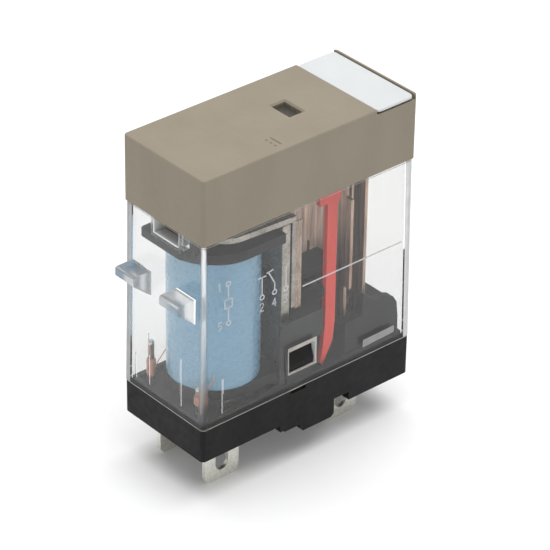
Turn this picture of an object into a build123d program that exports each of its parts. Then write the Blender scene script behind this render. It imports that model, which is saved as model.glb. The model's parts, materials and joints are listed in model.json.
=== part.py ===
from build123d import *
from math import cos, radians, sin
import os

# Plug-in relay with a vertical coil, a rocking armature, one changeover contact and a
# mechanical position indicator. Millimetres. X runs from the coil end to the contact end,
# Y across the narrow body and Z up. The origin is the middle of the body in plan, on the
# plane where the underside of the base seats on its socket.

os.makedirs("parts", exist_ok=True)

# Outer body
BODY_LENGTH = 29.1
BODY_WIDTH = 13.0
BODY_TOP = 34.75
CASE_SEAT = 4.78          # joint between base and clear case
CAP_EDGE = 27.06          # lower edge of the cap
CORNER = 0.5              # vertical corner radius of the case
TOUCH = 0.05              # gap between faces that meet across a moving joint
OVERRUN = 1.0             # how far a cutting or joining block runs past the face it meets

# Base
COIL_SIDE_FLOOR = 0.84    # underside below the coil, above the seat plane
COIL_SIDE_END = -3.8
RIM_HEIGHT = 0.62
RIM_WALL = 0.55
KEY_DEPTH = 1.16          # deep key on the underside
KEY_SHALLOW = 0.2
KEY_WIDTH = 1.9
KEY_START = -3.2
KEY_STEP = -1.0
KEY_END = 3.8
RELIEF_END = 5.9          # notch that shows the contact blade
RELIEF_HEIGHT = 1.04
KEY_CHAMFER = 0.4
FLOOR_DEPTH = 0.5         # how far pieces moulded on the floor reach down into it
CHEEK_INNER = 4.2
CHEEK_OUTER = 5.3
PEDESTAL_LEFT = 5.9       # raised middle that carries the contact plates
PEDESTAL_RIGHT = 13.6
PEDESTAL_HALF_WIDTH = 4.3
PEDESTAL_TOP = 8.9
LUG_LEFT = -2.55          # tongue and lug that snap into the case's window
LUG_RIGHT = 0.8
LUG_TIP = 6.3
TONGUE_OUTER = 5.7
TONGUE_INNER = 5.1
TONGUE_TOP = 9.5
PRY_LEFT = -2.5           # notch below the case for a screwdriver
PRY_RIGHT = -0.35
PRY_DEPTH = 0.5

# Clear case
CASE_WALL = 0.7
CASE_DRAFT = 0.3          # each side, from the seat to the cap edge
SPIGOT_INSET = 0.45
SPIGOT_WALL = 0.5
SPIGOT_TOP = 29.4
LATCH_LEFT = -2.75
LATCH_RIGHT = 1.0
LATCH_BOTTOM = 6.95
LATCH_TOP = 9.7
TAB_OFFSET = 3.6
TAB_WIDTH = 3.0
TAB_TIP = -16.7
TAB_TOP = 20.34
TAB_TIP_BOTTOM = 19.3
TAB_ROOT_BOTTOM = 17.24
VENT_LOW_Y = -2.25
VENT_HIGH_Y = 1.8
VENT_BOTTOM = 25.1
VENT_COLLAR = 0.35
VENT_DEPTH = 1.1
VENT_TOP_GAP = 1.0        # vent's upper edge below the top of the spigot
CASE_SHOULDER = 0.4       # thickness of the case above its cavity
TAB_DROP = 0.6            # how much lower the tab's underside meets the case
TAB_ROUND = 0.3
RIB = 0.15                # thin moulded ribs inside the case
RIB_ROOT = 0.1
END_RIBS = ((-2.35, 11.6), (2.9, 9.4), (5.1, 8.6))      # y and top of each rib on the coil end
SIDE_RIBS = ((-11.45, 9.8),)                           # x and top of each rib on the long sides

# Cap and nameplate
CAP_INSET = 0.1           # cap edge stands this far inside the base edge
CAP_WALL = 0.5
CAP_ROOF = 1.0
CAP_ROUND = 0.45
CAP_TOP_ROUND = 0.2
WINDOW_LEFT = 0.95
WINDOW_RIGHT = 2.75
WINDOW_LOW_Y = -1.65
WINDOW_HIGH_Y = 1.25
WINDOW_CHAMFER = 0.2
CAP_STEP = 2.0            # thick lower skirt of the cap
RECESS_START = 8.7
END_WALL = 0.35
RECESS_DEPTH = 0.65
PLATE_DROP = 0.12         # top of the nameplate below the top of the cap
PLATE_THICKNESS = 0.3
PLATE_GAP = 0.08
PLATE_ROUND = 0.6
PLATE_CHAMFER = 0.1
FOOT_MARGIN = 0.7
FOOT_Y = 3.6
FOOT_HALF = 0.6

# Coil
COIL_X = -7.7
CORE_RADIUS = 1.6
CORE_CLEARANCE = 0.05
BARREL_RADIUS = 2.1
WINDING_RADIUS = 4.55
TAPE_RADIUS = 4.75
COIL_BOTTOM = 7.04
COIL_TOP = 22.74
FLANGE_THICKNESS = 1.14
FLANGE_RADIUS = 5.2
FOOT_FLANGE_RADIUS = 4.9
FLANGE_END = -2.65
TONGUE_FRONT = -13.2
TONGUE_LOW_Y = -1.95
TONGUE_HIGH_Y = 5.05
TONGUE_STEP = 0.3
TONGUE_ROUND = 0.6
STOP_LEFT = -12.3         # stop that the armature's tip rests against when it is open
STOP_RIGHT = -11.7
STOP_HALF_WIDTH = 2.8
STOP_TOP = 28.0
STOP_ROOT = 0.2
POLE_RADIUS = 2.9
POLE_TOP = 24.33
POLE_CHAMFER = 0.15

# Yoke and armature
YOKE_LEFT = -2.6
YOKE_RIGHT = -1.5
YOKE_HALF_WIDTH = 4.6
YOKE_FOOT_BOTTOM = 4.85
YOKE_FOOT_TOP = 5.85
YOKE_FOOT_END = -10.4
YOKE_BEND = 0.7
ROCK_ANGLE = 3.0          # open gap of the armature, degrees
PIVOT_Z = POLE_TOP + TOUCH
PLATE = 0.65              # armature thickness
ARMATURE_TIP = -11.0
LEG_LEFT = -1.25
LEG_RIGHT = -0.75
LEG_BOTTOM = 13.9
LEG_WINDOW_HALF = 1.8
ARMATURE_ROUND = 2.8
KNEE_RELIEF = 0.4
SHEET = 0.2               # thin spring sheet
SPRING_HALF_WIDTH = 1.5
SPRING_BOTTOM = 15.2
SPRING_TOP = 25.5
SPRING_END = -4.4
SPRING_RIVETS = (16.6, 19.4)
RIVET_SHANK = 0.5
YOKE_RIVET_HEAD = 0.8
YOKE_RIVET_RISE = 0.3
STRIP_RIGHT = 0.1
STRIP_BOTTOM = 13.6
STRIP_TOP_GAP = 0.1
STRIP_RIVET_Y = 3.2
STRIP_RIVET_Z = 19.9
STRIP_RIVET_HEAD = 0.85
STRIP_RIVET_RISE = 0.65
STRIP_RIVET_ROUND = 0.3

# Contacts
PLATE_HALF_WIDTH = 4.1
WIDE_HALF_WIDTH = 4.9     # closed plate above the cheeks of the base
WIDE_BOTTOM = 13.2
WIDE_TOP = 24.2
LEAF_HALF_WIDTH = 3.3
FIXED_PLATE = 0.4
CLOSED_PLATE_X = 6.6      # left face of the plate that is closed at rest
LEAF_LEFT = 8.1
LEAF_RIGHT = 8.4
OPEN_PLATE_X = 9.3
OPEN_PLATE_JOG = 0.7
CONTACT_Z = 27.6
CONTACT_RADIUS = 1.5
LEAF_BOTTOM = 9.3
PLATE_TOP = 29.3
CARD_BOTTOM = 13.3
CARD_TOP = 15.1
CARD_HALF_WIDTH = 1.5
CARD_TIP = 7.7
SHOULDER_RIGHT = 0.6
SHOULDER_HALF_WIDTH = 4.3
ARM_LEFT = 2.9            # side arm of the card, which meets the lever
ARM_REACH = 4.75
ARM_BOTTOM = 13.7
ARM_TOP = 14.7
PLATE_FOOT = 0.8          # height above the case seat where a fixed plate narrows to its leg
PLATE_LEG_ROOT = 0.6
LEG_INNER = 2.0
SLIT_HALF_WIDTH = 1.9     # opening in the closed plate for the card's nose
SLIT_BOTTOM = 12.9
SLIT_TOP = 16.2
JOG_Z = 26.0
TAB_HALF_WIDTH = 3.0      # tab that carries the leaf
TAB_RISE = 1.5
COMMON_LEG_HALF = 1.2
LEAF_ROUND = 1.5
LEAF_RIVET = 0.6
LEAF_RIVET_HEAD = 0.3
LEAF_RIVET_Y = 2.4
LEAF_RIVET_RISE = 0.8
BUTTON = 0.4              # thickness of a contact button

# Insulating block
BLOCK_LEFT = -1.4
BLOCK_RIGHT = 5.5
BLOCK_LOW_Y = -3.95
BLOCK_HIGH_Y = 4.7
BLOCK_TOP = 12.9
BLOCK_CHAMFER = 0.3
WING_LEFT = -3.45         # wings that reach round the yoke's edges
WING_RIGHT = 2.4
WING_END = -2.85
WING_OUTER = 5.55
WING_INNER = 5.15
WING_BOTTOM = 5.5
WING_STEP = 9.65          # above the latch tongue

# Plug blades
BLADE = 0.5
BLADE_TIP = -4.5
BLADE_ROOT = 4.2
COIL_BLADE_LEFT = -12.15
COIL_BLADE_RIGHT = -7.5
COIL_ROW = 3.75
CONTACT_BLADE_LEFT = 5.3
CONTACT_BLADE_RIGHT = 10.0
CONTACT_ROW = 3.05
SLOT_WIDTH = 1.75
SLOT_BOTTOM = -3.4
SLOT_TOP = 0.2            # centre of the slot's upper end
BLADE_ROUND = 0.9
POST_HALF = 0.24
POST_ROOT = 1.5
POST_FOOT = 1.0           # reach and height of the foot that joins a post to its blade

# Indicator lever
LEVER_FRONT = -4.85
LEVER_BACK = -4.25
LEVER_LEFT = 3.4
LEVER_RIGHT = 4.75
LEVER_PIVOT_X = 4.05
LEVER_PIVOT_Z = 9.0
FLAG_BOTTOM = 31.2
FLAG_TOP = 31.7
FLAG_LEFT = -1.45
FLAG_RIGHT = 0.7
FLAG_HIGH_Y = 1.1
PIN_RADIUS = 0.35
PIN_INSET = 0.25
PIN_END = -3.0
BORE_FLOOR = 0.15         # skin left over the blind end of the lever's bore
BOSS_RADIUS = 0.75
BOSS_RISE = 0.25

# Wire ends of the coil
WRAP_RADIUS = 0.48
WIRE_RADIUS = 0.09
WIRE_START = 0.3          # wire leaves this far from the post's centre, each way
WIRE_END_Z = 8.6
SOLDER_RADIUS = 0.36
SOLDER_DROP = 0.1
WIRE_REACH = 4.9          # distance of the wire's run from the coil's axis
WIRE_ANGLE = 48.0


def block(x, y, z):
    """Box from three (low, high) pairs."""
    size = [high - low for low, high in (x, y, z)]
    middle = [(low + high) / 2 for low, high in (x, y, z)]
    return Pos(*middle) * Box(*size)


def upright(radius, x, y, z):
    """Vertical cylinder over the height range z."""
    return Pos(x, y, (z[0] + z[1]) / 2) * Cylinder(radius, z[1] - z[0])


def along_x(radius, x, y, z):
    """Cylinder along X over the range x."""
    return Pos((x[0] + x[1]) / 2, y, z) * Rot(0, 90, 0) * Cylinder(radius, x[1] - x[0])


def along_y(radius, x, y, z):
    """Cylinder along Y over the range y."""
    return Pos(x, (y[0] + y[1]) / 2, z) * Rot(90, 0, 0) * Cylinder(radius, y[1] - y[0])


def side_profile(points, y):
    """Plate with an outline in the XZ plane, over the width range y."""
    face = Plane.XZ * make_face(Polyline(*points, close=True))
    return Pos(0, y[1], 0) * extrude(face, y[1] - y[0])


def rounded_tower(half_x, half_y, radius, bottom, top, draft=0.0):
    """Rounded box that narrows by draft on each side towards its top."""
    height = top - bottom
    sketch = Pos(0, 0, bottom) * RectangleRounded(2 * half_x, 2 * half_y, radius)
    if draft == 0.0:
        return extrude(sketch, height)
    return extrude(sketch, height, taper=Vector(height, draft, 0).get_angle(Vector(1, 0, 0)))


def mirrored(shape):
    """The same shape on the other long side."""
    return mirror(shape, about=Plane.XZ)


HALF_LENGTH = BODY_LENGTH / 2
HALF_WIDTH = BODY_WIDTH / 2
CASE_HALF_X = HALF_LENGTH - CASE_WALL
CASE_HALF_Y = HALF_WIDTH - CASE_WALL


def make_clear_case():
    """Drafted transparent box with a spigot for the cap, wedge tabs and latch windows."""
    outer = rounded_tower(HALF_LENGTH, HALF_WIDTH, CORNER, CASE_SEAT, CAP_EDGE, CASE_DRAFT)
    spigot_x = HALF_LENGTH - CASE_DRAFT - SPIGOT_INSET
    spigot_y = HALF_WIDTH - CASE_DRAFT - SPIGOT_INSET
    outer += rounded_tower(spigot_x, spigot_y, CORNER / 2, CAP_EDGE - OVERRUN, SPIGOT_TOP)
    tab_outline = [
        (OVERRUN - HALF_LENGTH, TAB_TOP),
        (TAB_TIP, TAB_TOP),
        (TAB_TIP, TAB_TIP_BOTTOM),
        (OVERRUN - HALF_LENGTH, TAB_ROOT_BOTTOM - TAB_DROP),
    ]
    for centre in (-TAB_OFFSET, TAB_OFFSET):
        tab = side_profile(tab_outline, (centre - TAB_WIDTH / 2, centre + TAB_WIDTH / 2))
        tip = tab.edges().filter_by(Axis.Y).group_by(Axis.X)[0]
        outer += fillet(tip, TAB_ROUND)
    shoulder = CAP_EDGE - CASE_SHOULDER
    inner = rounded_tower(CASE_HALF_X, CASE_HALF_Y, CORNER / 2, CASE_SEAT, shoulder, CASE_DRAFT)
    inner += rounded_tower(
        spigot_x - SPIGOT_WALL, spigot_y - SPIGOT_WALL, CORNER / 4, CAP_EDGE - OVERRUN, SPIGOT_TOP
    )
    case = outer - inner
    collar_y = (VENT_LOW_Y - VENT_COLLAR, VENT_HIGH_Y + VENT_COLLAR)
    collar_x = (-CASE_HALF_X, VENT_DEPTH - CASE_HALF_X)
    case += block(collar_x, collar_y, (VENT_BOTTOM - VENT_COLLAR, CAP_EDGE))
    vent_x = (-HALF_LENGTH - OVERRUN, VENT_DEPTH - CASE_HALF_X + OVERRUN)
    case -= block(vent_x, (VENT_LOW_Y, VENT_HIGH_Y), (VENT_BOTTOM, SPIGOT_TOP - VENT_TOP_GAP))
    across = (-HALF_WIDTH - OVERRUN, HALF_WIDTH + OVERRUN)
    case -= block((LATCH_LEFT, LATCH_RIGHT), across, (LATCH_BOTTOM, LATCH_TOP))
    rib_bottom = CASE_SEAT + RIM_HEIGHT
    for rib_y, rib_top in END_RIBS:
        rib_x = (-CASE_HALF_X - RIB_ROOT, RIB - CASE_HALF_X)
        case += block(rib_x, (rib_y - RIB / 2, rib_y + RIB / 2), (rib_bottom, rib_top))
    for rib_x, rib_top in SIDE_RIBS:
        rib_y = (-CASE_HALF_Y - RIB_ROOT, RIB - CASE_HALF_Y)
        rib = block((rib_x - RIB / 2, rib_x + RIB / 2), rib_y, (rib_bottom, rib_top))
        case += [rib, mirrored(rib)]
    return case


def make_top_cap():
    """Beige cap with the indicator window and the recess of the nameplate."""
    half_x = HALF_LENGTH - CAP_INSET
    half_y = HALF_WIDTH - CAP_INSET
    cap = rounded_tower(half_x, half_y, CAP_ROUND, CAP_EDGE, BODY_TOP)
    cap = fillet(cap.faces().sort_by(Axis.Z)[-1].edges(), CAP_TOP_ROUND)
    inner_x = half_x - CAP_WALL
    inner_y = half_y - CAP_WALL
    cap -= rounded_tower(inner_x, inner_y, CAP_ROUND / 2, CAP_EDGE, BODY_TOP - RECESS_DEPTH - CAP_ROOF / 2)
    deep_z = (CAP_EDGE + CAP_STEP, BODY_TOP - CAP_ROOF)
    cap -= block((-inner_x, RECESS_START - CAP_ROOF), (-inner_y, inner_y), deep_z)
    window_z = (CAP_EDGE, BODY_TOP + OVERRUN)
    cap -= block((WINDOW_LEFT, WINDOW_RIGHT), (WINDOW_LOW_Y, WINDOW_HIGH_Y), window_z)
    window_rim = cap.edges().filter_by(GeomType.LINE).filter_by_position(Axis.Z, BODY_TOP, BODY_TOP)
    window_rim = window_rim.filter_by_position(Axis.X, WINDOW_LEFT, WINDOW_RIGHT)
    window_rim = window_rim.filter_by_position(Axis.Y, WINDOW_LOW_Y, WINDOW_HIGH_Y)
    cap = chamfer(window_rim, WINDOW_CHAMFER)
    recess_z = (BODY_TOP - RECESS_DEPTH, BODY_TOP + OVERRUN)
    cap -= block((RECESS_START, half_x - END_WALL), (-HALF_WIDTH, HALF_WIDTH), recess_z)
    return cap


def make_nameplate():
    """Thin white plate on two feet, lying in the cap's recess."""
    top = BODY_TOP - PLATE_DROP
    plate_x = (RECESS_START + PLATE_GAP, HALF_LENGTH - CAP_INSET - END_WALL - PLATE_GAP)
    half_y = HALF_WIDTH - CAP_INSET - PLATE_GAP
    plate = block(plate_x, (-half_y, half_y), (top - PLATE_THICKNESS, top))
    plate = fillet(plate.edges().filter_by(Axis.Z), PLATE_ROUND)
    plate = chamfer(plate.faces().sort_by(Axis.Z)[-1].edges(), PLATE_CHAMFER)
    foot_x = (plate_x[0] + FOOT_MARGIN, plate_x[1] - FOOT_MARGIN)
    foot_z = (BODY_TOP - RECESS_DEPTH + TOUCH, top - PLATE_THICKNESS)
    for foot_y in (-FOOT_Y, FOOT_Y):
        plate += block(foot_x, (foot_y - FOOT_HALF, foot_y + FOOT_HALF), foot_z)
    return plate


def flange(radius, bottom):
    """Bobbin end plate: a disc with a straight side towards the yoke."""
    z = (bottom, bottom + FLANGE_THICKNESS)
    width = (-radius, radius)
    disc = upright(radius, COIL_X, 0, z) - block((FLANGE_END, FLANGE_END + radius), width, z)
    return disc + block((COIL_X, FLANGE_END), width, z)


def make_bobbin():
    """Black former of the coil, with a front tongue and the stop of the armature."""
    lower = COIL_BOTTOM - FLANGE_THICKNESS
    upper = COIL_TOP + FLANGE_THICKNESS
    bobbin = upright(BARREL_RADIUS, COIL_X, 0, (lower, upper))
    bobbin += [flange(FOOT_FLANGE_RADIUS, lower), flange(FLANGE_RADIUS, COIL_TOP)]
    tongue = block((TONGUE_FRONT, COIL_X), (TONGUE_LOW_Y, TONGUE_HIGH_Y), (COIL_TOP + TONGUE_STEP, upper))
    tongue = fillet(tongue.edges().filter_by(Axis.Z).group_by(Axis.X)[0], TONGUE_ROUND)
    width = (-STOP_HALF_WIDTH, STOP_HALF_WIDTH)
    stop = block((STOP_LEFT, STOP_RIGHT), width, (upper - STOP_ROOT, STOP_TOP))
    bobbin += [tongue, stop]
    return bobbin - upright(CORE_RADIUS + CORE_CLEARANCE, COIL_X, 0, (lower - OVERRUN, upper + OVERRUN))


def ring(outer, inner, z):
    """Vertical tube on the coil's axis."""
    return upright(outer, COIL_X, 0, z) - upright(inner, COIL_X, 0, (z[0] - OVERRUN, z[1] + OVERRUN))


def make_core():
    """Iron core with its pole face, riveted through the yoke's foot."""
    core = upright(CORE_RADIUS, COIL_X, 0, (YOKE_FOOT_BOTTOM, POLE_TOP))
    pole_z = (COIL_TOP + FLANGE_THICKNESS, POLE_TOP)
    pole = upright(POLE_RADIUS, COIL_X, 0, pole_z)
    return core + chamfer(pole.edges().sort_by(Axis.Z)[-1], POLE_CHAMFER)


def make_yoke():
    """Steel L: an upright plate beside the coil and a foot below it."""
    half = (-YOKE_HALF_WIDTH, YOKE_HALF_WIDTH)
    yoke = block((YOKE_LEFT, YOKE_RIGHT), half, (YOKE_FOOT_BOTTOM, POLE_TOP))
    yoke += block((YOKE_FOOT_END, YOKE_RIGHT), half, (YOKE_FOOT_BOTTOM, YOKE_FOOT_TOP))
    bend = yoke.edges().filter_by(Axis.Y).sort_by_distance((YOKE_RIGHT, 0, YOKE_FOOT_BOTTOM))[0]
    hole_z = (YOKE_FOOT_BOTTOM - OVERRUN, YOKE_FOOT_TOP + OVERRUN)
    return fillet(bend, YOKE_BEND) - upright(CORE_RADIUS, COIL_X, 0, hole_z)


def make_armature():
    """Steel L that rocks on the yoke's top edge, its plate raised off the pole at rest."""
    half = (-YOKE_HALF_WIDTH, YOKE_HALF_WIDTH)
    flat = block((ARMATURE_TIP, LEG_RIGHT), half, (PIVOT_Z, PIVOT_Z + PLATE))
    flat = fillet(flat.edges().filter_by(Axis.Z).group_by(Axis.X)[0], ARMATURE_ROUND)
    raised = flat.rotate(Axis((YOKE_RIGHT, 0, PIVOT_Z), (0, 1, 0)), ROCK_ANGLE)
    leg = block((LEG_LEFT, LEG_RIGHT), half, (LEG_BOTTOM, PIVOT_Z + PLATE / 2))
    window_x = (YOKE_RIGHT - KNEE_RELIEF, LEG_RIGHT + OVERRUN)
    window_z = (LEG_BOTTOM + OVERRUN, PIVOT_Z + PLATE + OVERRUN)
    return raised + leg - block(window_x, (-LEG_WINDOW_HALF, LEG_WINDOW_HALF), window_z)


def make_hinge_spring():
    """Flat spring on the yoke's back that bends over the armature's knee."""
    width = (-SPRING_HALF_WIDTH, SPRING_HALF_WIDTH)
    upright_part = block((YOKE_RIGHT, YOKE_RIGHT + SHEET), width, (SPRING_BOTTOM, SPRING_TOP))
    tongue = block((SPRING_END, YOKE_RIGHT + SHEET), width, (SPRING_TOP - SHEET, SPRING_TOP))
    spring = upright_part + tongue
    knee = spring.edges().filter_by(Axis.Y).sort_by_distance((YOKE_RIGHT + SHEET, 0, SPRING_TOP))[0]
    return fillet(knee, SHEET / 2)


def make_yoke_rivets():
    """Two rivets that hold the hinge spring on the yoke."""
    rivets = []
    face = YOKE_RIGHT + SHEET
    for height in SPRING_RIVETS:
        shank = along_x(RIVET_SHANK, (YOKE_LEFT, face), 0, height)
        head = along_x(YOKE_RIVET_HEAD, (face, face + YOKE_RIVET_RISE), 0, height)
        rivets.append(shank + head)
    return rivets


def make_armature_strip():
    """Copper alloy channel on the armature's leg, which carries the card."""
    half = (-YOKE_HALF_WIDTH, YOKE_HALF_WIDTH)
    z = (STRIP_BOTTOM, PIVOT_Z - STRIP_TOP_GAP)
    strip = block((LEG_RIGHT, LEG_RIGHT + SHEET), half, z)
    for side in (half[0], half[1] - SHEET):
        strip += block((LEG_RIGHT, STRIP_RIGHT), (side, side + SHEET), z)
    return strip


def make_strip_rivets():
    """Two rivets that join the channel to the armature's leg."""
    rivets = []
    face = LEG_RIGHT + SHEET
    for side in (-STRIP_RIVET_Y, STRIP_RIVET_Y):
        shank = along_x(RIVET_SHANK, (LEG_LEFT, face), side, STRIP_RIVET_Z)
        head = along_x(STRIP_RIVET_HEAD, (face, face + STRIP_RIVET_RISE), side, STRIP_RIVET_Z)
        rivets.append(shank + fillet(head.edges().sort_by(Axis.X)[-1], STRIP_RIVET_ROUND))
    return rivets


def make_card():
    """Black pusher on the strip: a nose for the leaf and a side arm for the lever."""
    z = (CARD_BOTTOM, CARD_TOP)
    left = LEG_RIGHT + SHEET
    nose = block((left, CARD_TIP), (-CARD_HALF_WIDTH, CARD_HALF_WIDTH), z)
    shoulder = block((left, SHOULDER_RIGHT), (-SHOULDER_HALF_WIDTH, SHOULDER_HALF_WIDTH), z)
    arm_x = (ARM_LEFT, LEVER_LEFT - 2 * TOUCH)
    arm = block(arm_x, (-ARM_REACH, -CARD_HALF_WIDTH), (ARM_BOTTOM, ARM_TOP))
    return nose + shoulder + arm


def make_fixed_plate(left, leg_low, leg_high):
    """Fixed contact plate across the body, with a narrow leg down to its blade."""
    x = (left, left + FIXED_PLATE)
    foot = CASE_SEAT + PLATE_FOOT
    plate = block(x, (-PLATE_HALF_WIDTH, PLATE_HALF_WIDTH), (foot, PLATE_TOP))
    return plate + block(x, (leg_low, leg_high), (BLADE_ROOT - PLATE_LEG_ROOT, foot))


def blade(left, right, row):
    """Flat plug blade with a long slot and rounded lower corners."""
    y = (row - BLADE / 2, row + BLADE / 2)
    plate = block((left, right), y, (BLADE_TIP, BLADE_ROOT))
    plate = fillet(plate.edges().filter_by(Axis.Y).group_by(Axis.Z)[0], BLADE_ROUND)
    middle = (left + right) / 2
    radius = SLOT_WIDTH / 2
    through = (y[0] - OVERRUN, y[1] + OVERRUN)
    slot = block((middle - radius, middle + radius), through, (SLOT_BOTTOM + radius, SLOT_TOP))
    for end in (SLOT_BOTTOM + radius, SLOT_TOP):
        slot += along_y(radius, middle, through, end)
    return plate - slot


def make_coil_terminal(row, post_x, post_y, post_top):
    """Coil blade with a square post for the end of the wire."""
    x = (post_x - POST_HALF, post_x + POST_HALF)
    post = block(x, (post_y - POST_HALF, post_y + POST_HALF), (POST_ROOT, post_top))
    foot_low = min(row - BLADE / 2, post_y - POST_HALF)
    foot_high = max(row + BLADE / 2, post_y + POST_HALF)
    foot_z = (POST_ROOT, POST_ROOT + POST_FOOT)
    foot = block((post_x - POST_HALF, COIL_BLADE_LEFT + POST_FOOT), (foot_low, foot_high), foot_z)
    return blade(COIL_BLADE_LEFT, COIL_BLADE_RIGHT, row) + foot + post


def make_closed_terminal():
    """Blade and fixed plate of the contact that is closed at rest."""
    plate = make_fixed_plate(CLOSED_PLATE_X, LEG_INNER, PLATE_HALF_WIDTH)
    wide_x = (CLOSED_PLATE_X, CLOSED_PLATE_X + FIXED_PLATE)
    plate += block(wide_x, (-WIDE_HALF_WIDTH, WIDE_HALF_WIDTH), (WIDE_BOTTOM, WIDE_TOP))
    slit_x = (CLOSED_PLATE_X - OVERRUN, CLOSED_PLATE_X + FIXED_PLATE + OVERRUN)
    plate -= block(slit_x, (-SLIT_HALF_WIDTH, SLIT_HALF_WIDTH), (SLIT_BOTTOM, SLIT_TOP))
    return plate + blade(CONTACT_BLADE_LEFT, CONTACT_BLADE_RIGHT, CONTACT_ROW)


def make_open_terminal():
    """Blade and fixed plate of the contact that is open at rest, stepped at its top."""
    plate = make_fixed_plate(OPEN_PLATE_X, -PLATE_HALF_WIDTH, -LEG_INNER)
    above_x = (OPEN_PLATE_X - OVERRUN, OPEN_PLATE_X + FIXED_PLATE + OVERRUN)
    plate -= block(above_x, (-HALF_WIDTH, HALF_WIDTH), (JOG_Z, PLATE_TOP + OVERRUN))
    half = (-PLATE_HALF_WIDTH, PLATE_HALF_WIDTH)
    jogged = OPEN_PLATE_X + OPEN_PLATE_JOG
    plate += block((OPEN_PLATE_X, jogged + FIXED_PLATE), half, (JOG_Z - FIXED_PLATE, JOG_Z))
    plate += block((jogged, jogged + FIXED_PLATE), half, (JOG_Z - FIXED_PLATE, PLATE_TOP))
    return plate + blade(CONTACT_BLADE_LEFT, CONTACT_BLADE_RIGHT, -CONTACT_ROW)


def make_common_terminal():
    """Middle blade with the upright tab that carries the moving leaf."""
    tab_x = (LEAF_RIGHT + 2 * TOUCH, LEAF_RIGHT + 2 * TOUCH + FIXED_PLATE)
    foot = CASE_SEAT + PLATE_FOOT
    tab = block(tab_x, (-TAB_HALF_WIDTH, TAB_HALF_WIDTH), (foot, LEAF_BOTTOM + TAB_RISE))
    tab += block(tab_x, (-COMMON_LEG_HALF, COMMON_LEG_HALF), (BLADE_ROOT - PLATE_LEG_ROOT, foot))
    return tab + blade(CONTACT_BLADE_LEFT, CONTACT_BLADE_RIGHT, 0)


def make_moving_leaf():
    """Copper leaf with the moving contact at its top."""
    leaf = block((LEAF_LEFT, LEAF_RIGHT), (-LEAF_HALF_WIDTH, LEAF_HALF_WIDTH), (LEAF_BOTTOM, PLATE_TOP))
    return fillet(leaf.edges().filter_by(Axis.X).group_by(Axis.Z)[-1], LEAF_ROUND)


def make_leaf_rivets():
    """Two rivets at the foot of the leaf."""
    x = (LEAF_LEFT - LEAF_RIVET_HEAD, LEAF_LEFT)
    height = LEAF_BOTTOM + LEAF_RIVET_RISE
    return [along_x(LEAF_RIVET, x, side, height) for side in (-LEAF_RIVET_Y, LEAF_RIVET_Y)]


def contact(x):
    """Round silver button between two X values."""
    return along_x(CONTACT_RADIUS, x, 0, CONTACT_Z)


def make_wing():
    """Thin wall from the insulating block round the near edge of the yoke."""
    y = (-WING_OUTER, -WING_INNER)
    wing = block((WING_LEFT, WING_RIGHT), y, (WING_STEP, BLOCK_TOP))
    wing += block((WING_LEFT, WING_END), y, (WING_BOTTOM, WING_STEP))
    return wing + block((BLOCK_LEFT, WING_RIGHT), (-WING_OUTER, BLOCK_LOW_Y), (WING_STEP, BLOCK_TOP))


def make_contact_block():
    """Dark insulating block between the coil and the contacts, with its two wings."""
    body = block((BLOCK_LEFT, BLOCK_RIGHT), (BLOCK_LOW_Y, BLOCK_HIGH_Y), (CASE_SEAT, BLOCK_TOP))
    body = chamfer(body.edges().filter_by(Axis.Y).group_by(Axis.Z)[-1], BLOCK_CHAMFER)
    wing = make_wing()
    return body + [wing, mirrored(wing)]


def make_indicator_lever():
    """Red lever: pointed tail, long bar and a flag that shows in the cap's window."""
    outline = [
        (LEVER_LEFT, LEVER_PIVOT_Z + 1),
        (3.15, 7.2),
        (2.8, 5.35),
        (3.2, 5.1),
        (4.5, 7.7),
        (LEVER_RIGHT, LEVER_PIVOT_Z + 1),
        (LEVER_RIGHT, 24.6),
        (5.2, 25.3),
        (5.2, 26.4),
        (3.7, 26.4),
        (3.7, FLAG_TOP),
        (FLAG_LEFT, FLAG_TOP),
        (FLAG_LEFT, FLAG_BOTTOM),
        (2.3, FLAG_BOTTOM),
        (2.3, 25.0),
        (LEVER_LEFT, 25.0),
    ]
    lever = side_profile(outline, (LEVER_FRONT, LEVER_BACK))
    lever += block((FLAG_LEFT, FLAG_RIGHT), (LEVER_FRONT, FLAG_HIGH_Y), (FLAG_BOTTOM, FLAG_TOP))
    lever += along_y(BOSS_RADIUS, LEVER_PIVOT_X, (LEVER_BACK, LEVER_BACK + BOSS_RISE), LEVER_PIVOT_Z)
    bore_y = (LEVER_FRONT + BORE_FLOOR, 0)
    return lever - along_y(PIN_RADIUS + TOUCH, LEVER_PIVOT_X, bore_y, LEVER_PIVOT_Z)


def make_indicator_pin():
    """Steel pin of the lever, held in the insulating block."""
    return along_y(PIN_RADIUS, LEVER_PIVOT_X, (LEVER_FRONT + PIN_INSET, PIN_END), LEVER_PIVOT_Z)


def make_cheek():
    """Side wall of the base beside the contact plates."""
    outline = [
        (PEDESTAL_LEFT, CASE_SEAT - FLOOR_DEPTH),
        (PEDESTAL_LEFT, 9.4),
        (8.35, 9.4),
        (8.35, 12.2),
        (10.1, 10.65),
        (11.8, 10.4),
        (12.8, 10.0),
        (13.3, 9.2),
        (13.55, 7.2),
        (PEDESTAL_RIGHT, CASE_SEAT - FLOOR_DEPTH),
    ]
    return side_profile(outline, (-CHEEK_OUTER, -CHEEK_INNER))


def make_latch():
    """Tongue on the base with the lug that snaps into the case's window."""
    tongue_y = (-TONGUE_OUTER, -TONGUE_INNER)
    tongue = block((LUG_LEFT, LUG_RIGHT), tongue_y, (CASE_SEAT - FLOOR_DEPTH, TONGUE_TOP))
    lug_outline = [(-TONGUE_OUTER, 9.35), (-LUG_TIP, 7.75), (-LUG_TIP, 7.15), (-TONGUE_OUTER, 7.15)]
    face = Plane.YZ * make_face(Polyline(*lug_outline, close=True))
    return tongue + Pos(LUG_LEFT, 0, 0) * extrude(face, LUG_RIGHT - LUG_LEFT)


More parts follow.
